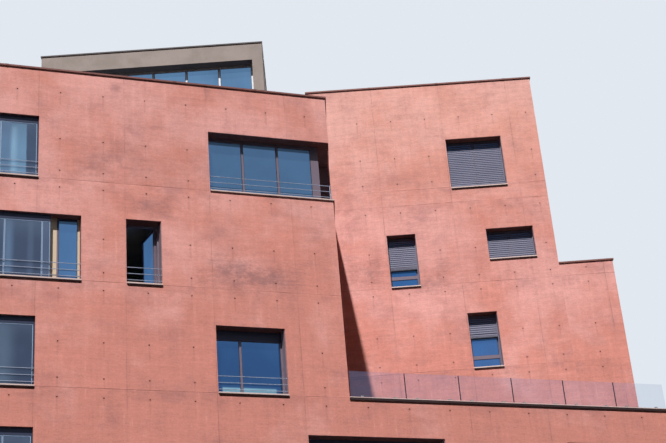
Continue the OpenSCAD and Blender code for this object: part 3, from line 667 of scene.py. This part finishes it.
# the widest balcony's post and right jamb are in a beige coating, in the two storeys that have it,
# the tracks of the folding panes are dark, and the head boxes get painted shade in a dark tone
metals = {
    "frame": (srgb(118, 106, 120), srgb(92, 80, 90)),
    # painted shade on the head boxes
    "paintedHeadBoxShade": srgb(58, 60, 82),
    "beige": srgb(204, 184, 162),
    "postAlong": (-8.11, -7.91),
    "jambAlong": (-7.36, -7.2),
    "storeys": (8.79, 17.88),
    "high": 1.96,
    "track": srgb(52, 58, 80),
    "trackLow": (-11.0, 0.09, 5.0),
    "trackHigh": (-8.0, 0.14, 23.0),
    "sill": (srgb(208, 186, 182), srgb(164, 140, 136)),
    # painted shade: the sills are darker inside the reveals
    "bedShade": srgb(104, 88, 88),  # sills inside the reveals
    "bedDepth": (0.03, 0.8),
    "bedHeight": (0.5, 23.0),
    # painted shade on the lower half of the terrace's edge
    "edgeShade": srgb(52, 38, 40),  # lower half of the terrace's edge
    "edgeShadeTop": 14.864,
    # painted shade on the foot bars of the two half-drawn blinds
    "footShade": srgb(24, 24, 32),
    "feet": ((1.917, 2.823, 21.634), (4.307, 5.213, 19.007)),  # the two half-drawn blinds' foot bars
}


def beigeZones(limits):
    return [(metals["beige"], "street", (limits[0], -0.1, foot), (limits[1], 0.6, foot + metals["high"]))
            for foot in metals["storeys"]]


# painted shade on the sills inside the reveals of a side
def bedShadeZone(side, left, right):
    near, far = metals["bedDepth"]
    foot, top = metals["bedHeight"]
    return metals["bedShade"], side, (left, near, foot), (right, far, top)


trackZone = (metals["track"], "street", metals["trackLow"], metals["trackHigh"])
# painted shade under the terrace edge's light top
edgeShadeZone = (metals["edgeShade"], "street", (-0.1, -0.1, 14.8), (10.1, 0.03, metals["edgeShadeTop"]))
# painted shade on the blinds' foot bars
footShadeZones = [
    (metals["footShade"], "tower", (left, 0.2, foot - 0.004), (right, 0.4, foot + 0.03))
    for left, right, foot in metals["feet"]]

dress(["wing_coping", "tower_coping", "step_coping"],
      coatedMetal("copingMetal", srgb(124, 84, 80), srgb(92, 62, 60), rough=0.5))
# the sills and the terrace's edge carry painted shade in their zones
dress(["terrace_edge", "window_sills"],
      coatedMetal("sillMetal", *metals["sill"], rough=0.4, zones=(
          bedShadeZone("street", -16.0, 0.1), bedShadeZone("tower", 0.1, 8.0), edgeShadeZone)))
dress(["front_window_frames"],
      coatedMetal("streetFrameMetal", *metals["frame"], rough=0.4, paintedHeadBoxShade=metals["paintedHeadBoxShade"],
                  zones=beigeZones(metals["postAlong"]) + beigeZones(metals["jambAlong"]) + [trackZone]))
dress(["corner_window_frame", "open_casement", "tower_window_frames", "plain_window_frames",
       "entrance_frame"],
      coatedMetal("frameMetal", *metals["frame"], rough=0.4))
dress(["reveal_linings"],
      coatedMetal("liningMetal", srgb(140, 124, 134), srgb(112, 96, 102), rough=0.45,
                  zones=beigeZones(metals["jambAlong"])))
dress(["guard_rails"],
      coatedMetal("railMetal", srgb(148, 156, 178), srgb(108, 114, 132), metallic=0.3, rough=0.35))
# the blinds' foot bars carry painted shade
blindCoat = coatedMetal("blindMetal", srgb(116, 116, 136), srgb(102, 102, 120), metallic=0.0, rough=0.6,
                        zones=footShadeZones)
dress(["window_blinds"], blindCoat)
dress(["pavilion_trim"],
      coatedMetal("trimMetal", srgb(50, 44, 46), srgb(36, 32, 34), metallic=0.3, rough=0.45))
dress(["pavilion_frames"],
      coatedMetal("pavilionMetal", srgb(158, 158, 164), srgb(132, 130, 132), metallic=0.3, rough=0.4))
dress(["entrance_door"],
      coatedMetal("doorMetal", srgb(74, 66, 66), srgb(52, 46, 46), metallic=0.3, rough=0.42))
# the pavilion's soffit gets painted shade
dress(["pavilion_shell"],
      dull("pavilionRender", srgb(160, 149, 146), srgb(146, 137, 133), 1.2, rough=0.9, paintedSoffitShade=0.7))

# painted reflections on the panes, and a pale strip for a curtain behind one balcony's panes: colour, side,
# lowest and highest corners (along, height), softness
panes = {
    "street": (
        (srgb(146, 194, 214), "street", (-3.45, 14.92), (-1.95, 15.16), 0.03),
        (srgb(86, 126, 172), "street", (-7.9, 17.9), (-7.3, 19.8), 0.02),
        (srgb(110, 146, 190), "street", (-5.6, 17.9), (-5.0, 18.1), 0.05)),
    "leaf": {"along": (-5.5, -5.0), "depth": (0.44, 1.3), "brighter": 2.6},
    "folding": (
        (srgb(112, 142, 174), "street", (-9.49, 20.95), (-9.21, 22.66), 0.02),
        (srgb(124, 160, 190), "street", (-9.21, 20.95), (-8.79, 22.62), 0.02),
        (srgb(150, 186, 214), "street", (-9.2, 21.0), (-9.06, 22.5), 0.08),
        (srgb(98, 116, 138), "street", (-9.5, 14.9), (-9.05, 16.6), 0.2),
        (srgb(98, 112, 138), "street", (-8.33, 17.9), (-8.1, 19.63), 0.02),
        (srgb(106, 130, 160), "street", (-9.31, 18.0), (-9.1, 19.6), 0.1),
        (srgb(92, 106, 132), "street", (-8.7, 18.0), (-8.55, 19.6), 0.05)),
    "foldingHeadReflection": srgb(102, 116, 138),
    "cover": 0.96,  # how much a window's pane hides of the room
}
dress(["front_window_glass"],
      skyGlass("windowGlass", srgb(54, 92, 142), srgb(72, 112, 160), 15.5, 19.5, panes["cover"],
               zones=panes["street"], leaf=panes["leaf"]))
dress(["plain_window_glass"],
      skyGlass("plainGlass", srgb(54, 92, 146), srgb(78, 120, 170), 14.0, 21.0, panes["cover"]))
dress(["tower_window_glass"],
      skyGlass("towerGlass", srgb(76, 118, 176), srgb(60, 108, 166), 18.5, 21.0, panes["cover"]))
dress(["corner_window_glass"],
      skyGlass("cornerGlass", srgb(82, 117, 154), srgb(84, 118, 155), 20.0, 23.0, panes["cover"]))
dress(["balcony_glass"],
      skyGlass("foldingGlass", srgb(72, 84, 108), srgb(80, 95, 120), 14.0, 22.5, 0.9,
               zones=panes["folding"], headReflection=panes["foldingHeadReflection"]))
dress(["pavilion_glass"],
      skyGlass("pavilionGlass", srgb(96, 138, 182), srgb(104, 146, 188), 24.0, 27.0, panes["cover"],
               metallic=0.6, glow=0.85))
# the balustrade's bluish veil is a painted sky reflection, given off wholly as glow
dress(["terrace_balustrade"],
      skyGlass("balustradeGlass", srgb(122, 154, 202), srgb(126, 157, 205), 14.0, 16.0, 0.12,
               metallic=0.0, glow=1.0, specular=0.0))
print("all nodes dressed")


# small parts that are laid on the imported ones
def onSide(side):
    form = formwork[side]
    return Matrix.Translation(form["origin"]) @ Matrix.Rotation(form["angle"], 4, "Z")


def bodies(name, side):
    # the separate solids of a node, as lowest and highest corners on a side
    back = onSide(side).inverted()
    shell = bmesh.new()
    shell.from_mesh(nodes[name].data)
    bmesh.ops.remove_doubles(shell, verts=shell.verts, dist=0.0001)
    boxes = []
    left = set(shell.verts)
    while left:
        reach = [left.pop()]
        places = []
        while reach:
            vert = reach.pop()
            places.append(back @ vert.co)
            for edge in vert.link_edges:
                other = edge.other_vert(vert)
                if other in left:
                    left.remove(other)
                    reach.append(other)
        low = Vector([min(place[i] for place in places) for i in range(3)])
        high = Vector([max(place[i] for place in places) for i in range(3)])
        boxes.append((low, high))
    shell.free()
    return sorted(boxes, key=lambda box: (*box[0], *box[1]))


def bar(mesh, side, low, high, bevel=0.0):
    # a straight bar between two corners on a side
    size = Vector(high) - Vector(low)
    middle = (Vector(high) + Vector(low)) / 2
    place = onSide(side) @ Matrix.Translation(middle) @ Matrix.Diagonal((*size, 1))
    made = bmesh.ops.create_cube(mesh, size=1, matrix=place)
    if bevel:
        edges = list(dict.fromkeys(edge for vert in made["verts"] for edge in vert.link_edges))
        bmesh.ops.bevel(mesh, geom=edges, offset=bevel, affect="EDGES", segments=2, profile=0.5, material=-1)


def frameBars(mesh, side, low, high, width, proud, foot=None, bevel=0.0):
    # four bars round a pane, that stand proud of it on both faces
    near = low.y - proud
    far = high.y + proud
    foot = foot or width
    bar(mesh, side, (low.x, near, low.z), (high.x, far, low.z + foot), bevel)
    bar(mesh, side, (low.x, near, high.z - width), (high.x, far, high.z), bevel)
    bar(mesh, side, (low.x, near, low.z + foot), (low.x + width, far, high.z - width), bevel)
    bar(mesh, side, (high.x - width, near, low.z + foot), (high.x, far, high.z - width), bevel)


def newPiece(name, mesh, material):
    data = bpy.data.meshes.new(name)
    bmesh.ops.recalc_face_normals(mesh, faces=mesh.faces)
    mesh.to_mesh(data)
    mesh.free()
    data.materials.append(material)
    piece = bpy.data.objects.new(name, data)
    bpy.context.scene.collection.objects.link(piece)
    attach(piece, "root")
    print("  ", name, len(data.polygons), "faces")


# rubber round every fixed pane, each of which lies flat on one of three sides
gasket = {
    "width": 0.012,
    "proud": 0.004,
    "thickest": 0.05,
    "colour": srgb(34, 32, 36),
    "worn": srgb(58, 54, 58),
    "panes": (
        "front_window_glass", "corner_window_glass", "tower_window_glass", "plain_window_glass",
        "pavilion_glass"),
}
rubber = coatedMetal("gasketRubber", gasket["colour"], gasket["worn"], metallic=0.0, rough=0.7)
rings = bmesh.new()
for node in gasket["panes"]:
    for side in ("street", "tower", "side"):
        for low, high in bodies(node, side):
            if high.y - low.y < gasket["thickest"]:
                frameBars(rings, side, low, high, gasket["width"], gasket["proud"])
newPiece("windowGaskets", rings, rubber)

# bright profiles along the edges of the folding panes
foldingEdge = {"width": 0.016, "foot": 0.045, "proud": 0.006, "bevel": 0.0015}
profiles = bmesh.new()
for low, high in bodies("balcony_glass", "street"):
    frameBars(profiles, "street", low, high, foldingEdge["width"], foldingEdge["proud"],
              foldingEdge["foot"], foldingEdge["bevel"])
newPiece("foldingPaneProfiles", profiles,
         coatedMetal("profileMetal", srgb(150, 172, 200), srgb(124, 142, 168), metallic=0.3, rough=0.35))

# the last slats of the two half-drawn blinds, which gather over the foot bar
lastSlats = {"wide": 0.08, "thick": 0.003, "tilt": 66, "depth": 0.297, "over": (0.066, 0.1, 0.136)}
gathered = bmesh.new()
for left, right, foot in metals["feet"]:
    for over in lastSlats["over"]:
        middle = Matrix.Translation(((left + right) / 2, lastSlats["depth"], foot + over))
        tilted = Matrix.Rotation(math.radians(lastSlats["tilt"]), 4, "X")
        shape = Matrix.Diagonal((right - left, lastSlats["wide"], lastSlats["thick"], 1))
        bmesh.ops.create_cube(gathered, size=1, matrix=onSide("tower") @ middle @ tilted @ shape)
newPiece("gatheredSlats", gathered, blindCoat)

# seals between the balustrade's panels, and clamps that hold their feet
seal = {"lap": 0.003, "proud": 0.002}
clamp = {"share": (0.2, 0.8), "half": 0.04, "high": 0.07, "proud": 0.012, "bevel": 0.003}
seals = bmesh.new()
clamps = bmesh.new()
panels = bodies("terrace_balustrade", "street")
for (low, high), (nextLow, _) in zip(panels, panels[1:]):
    bar(seals, "street", (high.x - seal["lap"], low.y - seal["proud"], low.z),
        (nextLow.x + seal["lap"], high.y + seal["proud"], high.z))
for low, high in panels:
    for share in clamp["share"]:
        middle = low.x + (high.x - low.x) * share
        bar(clamps, "street", (middle - clamp["half"], low.y - clamp["proud"], low.z - 0.001),
            (middle + clamp["half"], high.y + clamp["proud"], low.z + clamp["high"]), clamp["bevel"])
newPiece("balustradeSeals", seals, rubber)
newPiece("balustradeClamps", clamps,
         coatedMetal("clampMetal", srgb(150, 146, 146), srgb(116, 110, 110), metallic=0.8, rough=0.35))

# dark drip noses under the sills, and a dark band under the terrace's edge: their dark colour is painted
# shade that thickens the shadow lines there
drip = {
    "deep": 0.036,
    "high": 0.022,
    "short": 0.01,  # how far a nose ends before its sill does
    "thickest": 0.6,  # depth that tells the sills along a side from those across it
    "standsOut": 0.1,
    "edgeHigh": 0.05,
    "edgeMitre": 0.165,
    "facings": (("street", -1), ("tower", -1), ("right", -1), ("rear", 1), ("left", 1)),
}
shadeNoses = bmesh.new()
for side, outwards in drip["facings"]:
    for low, high in bodies("window_sills", side):
        face = low.y if outwards < 0 else high.y
        if high.y - low.y < drip["thickest"] and 0 < face * outwards < drip["standsOut"]:
            inner = face - outwards * drip["deep"]
            bar(shadeNoses, side, (low.x + drip["short"], min(inner, face), low.z - drip["high"]),
                (high.x - drip["short"], max(inner, face), low.z))
low, high = bodies("terrace_edge", "street")[0]
bar(shadeNoses, "street", (low.x + drip["short"], low.y + 0.004, low.z - drip["edgeHigh"]),
    (high.x - drip["edgeMitre"], 0.0, low.z))
# the noses' dark colour is painted shade
newPiece("dripShadeNoses", shadeNoses, coatedMetal("dripShadeMetal", srgb(48, 34, 36), srgb(66, 48, 48), rough=0.6))

# straps over the joints of the street's and the tower's copings
strap = {
    "half": 0.05,
    "thick": 0.003,
    "deep": 0.45,
    "drop": 0.05,
    "apart": 2.4,
    "face": -0.038,  # the copings' front
    "rows": (("street", "wing_coping", -14.2, 6), ("tower", "tower_coping", 1.8, 3)),
}
straps = bmesh.new()
for side, node, first, count in strap["rows"]:
    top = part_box(node)[1].z
    for step in range(count):
        left = first + strap["apart"] * step - strap["half"]
        right = left + 2 * strap["half"]
        bar(straps, side, (left, strap["face"], top - 0.001), (right, strap["deep"], top + strap["thick"]))
        bar(straps, side, (left, strap["face"] - strap["thick"], top - strap["drop"]),
            (right, strap["face"] + 0.001, top + strap["thick"]))
newPiece("copingStraps", straps,
         coatedMetal("strapMetal", srgb(104, 70, 68), srgb(80, 56, 54), metallic=0.25, rough=0.5))

# upright pull handle of the entrance door
pull = {"radius": 0.016, "long": 1.1, "foot": 0.75, "lug": 0.15, "stand": 0.06, "inset": 0.12, "sides": 20}
handle = bmesh.new()
low, high = bodies("entrance_door", "street")[0]
across = high.x - pull["inset"]
level = Matrix.Rotation(math.pi / 2, 4, "X")
for centre, long, turned in (
    ((across, low.y - pull["stand"], pull["foot"] + pull["long"] / 2), pull["long"], Matrix()),
    ((across, low.y - pull["stand"] / 2, pull["foot"] + pull["lug"]), pull["stand"], level),
    ((across, low.y - pull["stand"] / 2, pull["foot"] + pull["long"] - pull["lug"]), pull["stand"], level),
):
    bmesh.ops.create_cone(
        handle, cap_ends=True, segments=pull["sides"], radius1=pull["radius"], radius2=pull["radius"],
        depth=long, matrix=onSide("street") @ Matrix.Translation(centre) @ turned)
newPiece("entrancePull", handle,
         coatedMetal("pullMetal", srgb(190, 188, 186), srgb(150, 146, 144), metallic=0.9, rough=0.3,
                     brush=(1, 1, 12)))
print("small parts")

# studio: floor, lamps, camera
studio = {
    "floorHalf": 400,
    "floor": srgb(236, 235, 232),
    "floorBounce": srgb(30, 27, 26),
    "back": srgb(226, 232, 240),
    "skyLight": (0.75, 0.85, 1.0, 1),
    "skyStrength": 0.027,
    "lamps": {  # way the light goes, strength, softness in degrees, colour
        "keyLamp": ((0.129, 0.82, -1.0), 5.2, 1.2, (1.0, 0.97, 0.93)),
        "rearLamp": ((-0.6, -0.75, -0.5), 3.0, 25, (0.95, 0.97, 1.0)),
        "leftLamp": ((0.9, -0.12, -0.45), 1.2, 25, (0.95, 0.97, 1.0)),
    },
}


def isSeen(mat):
    # camera, mirror and glass rays, which show the background as it is
    rays = mat.add("LightPath").socket.node.outputs
    seen = Wire(mat, rays["Is Camera Ray"])
    for name in ("Is Glossy Ray", "Is Transmission Ray"):
        seen = mat.most(seen, Wire(mat, rays[name]))
    return seen


floorMesh = bmesh.new()
bmesh.ops.create_grid(floorMesh, x_segments=1, y_segments=1, size=studio["floorHalf"])
floorData = bpy.data.meshes.new("studioFloor")
floorMesh.to_mesh(floorData)
floorMesh.free()
floor = bpy.data.objects.new("studioFloor", floorData)
bpy.context.scene.collection.objects.link(floor)
floorShader = Shader("studioFloor")
floorData.materials.append(floorShader.finish({
    "Base Color": floorShader.blend(isSeen(floorShader), studio["floorBounce"], studio["floor"]),
    "Roughness": 0.9, "Specular IOR Level": 0.1}))

world = bpy.data.worlds.new("studio")
bpy.context.scene.world = world
sky = Shader(world)
seen = isSeen(sky)
paleBack = sky.add("Background", {}, {"Color": studio["back"], "Strength": 1.0})
skyLight = sky.add("Background", {}, {"Color": studio["skyLight"], "Strength": studio["skyStrength"]})
sky.add("OutputWorld", {}, {"Surface": sky.add("MixShader", {}, {0: seen, 1: skyLight, 2: paleBack})})

for lampName, (way, strength, softness, lampColour) in studio["lamps"].items():
    lampData = bpy.data.lights.new(lampName, "SUN")
    lampData.energy = strength
    lampData.angle = math.radians(softness)
    lampData.color = lampColour
    lamp = bpy.data.objects.new(lampName, lampData)
    lamp.rotation_euler = Vector(way).to_track_quat("-Z", "Y").to_euler()
    bpy.context.scene.collection.objects.link(lamp)

# the camera stands where the photo was taken, fitted to the walls' tie holes
viewpoint = {
    "eye": (-1.080 + cornerX, -37.079 + cornerY, 1.6),
    "right": (0.99715, 0.01005, -0.07482),
    "up": (0.07134, -0.44968, 0.89033),
    "forward": (0.02469, 0.89313, 0.44912),
    "focalPixels": 1438.8,
    "imageWidth": 666,
    "sensor": 36,
    "farthest": 500,
}
cameraData = bpy.data.cameras.new("camera")
cameraData.sensor_width = viewpoint["sensor"]
cameraData.lens = viewpoint["focalPixels"] * viewpoint["sensor"] / viewpoint["imageWidth"]
cameraData.clip_end = viewpoint["farthest"]
camera = bpy.data.objects.new("camera", cameraData)
axes = Matrix((viewpoint["right"], viewpoint["up"], tuple(-c for c in viewpoint["forward"]))).transposed()
camera.matrix_world = Matrix.Translation(viewpoint["eye"]) @ axes.to_4x4()
bpy.context.scene.collection.objects.link(camera)
bpy.context.scene.camera = camera

bpy.context.scene.view_settings.view_transform = "Standard"
print("studio")

bpy.context.view_layer.update()
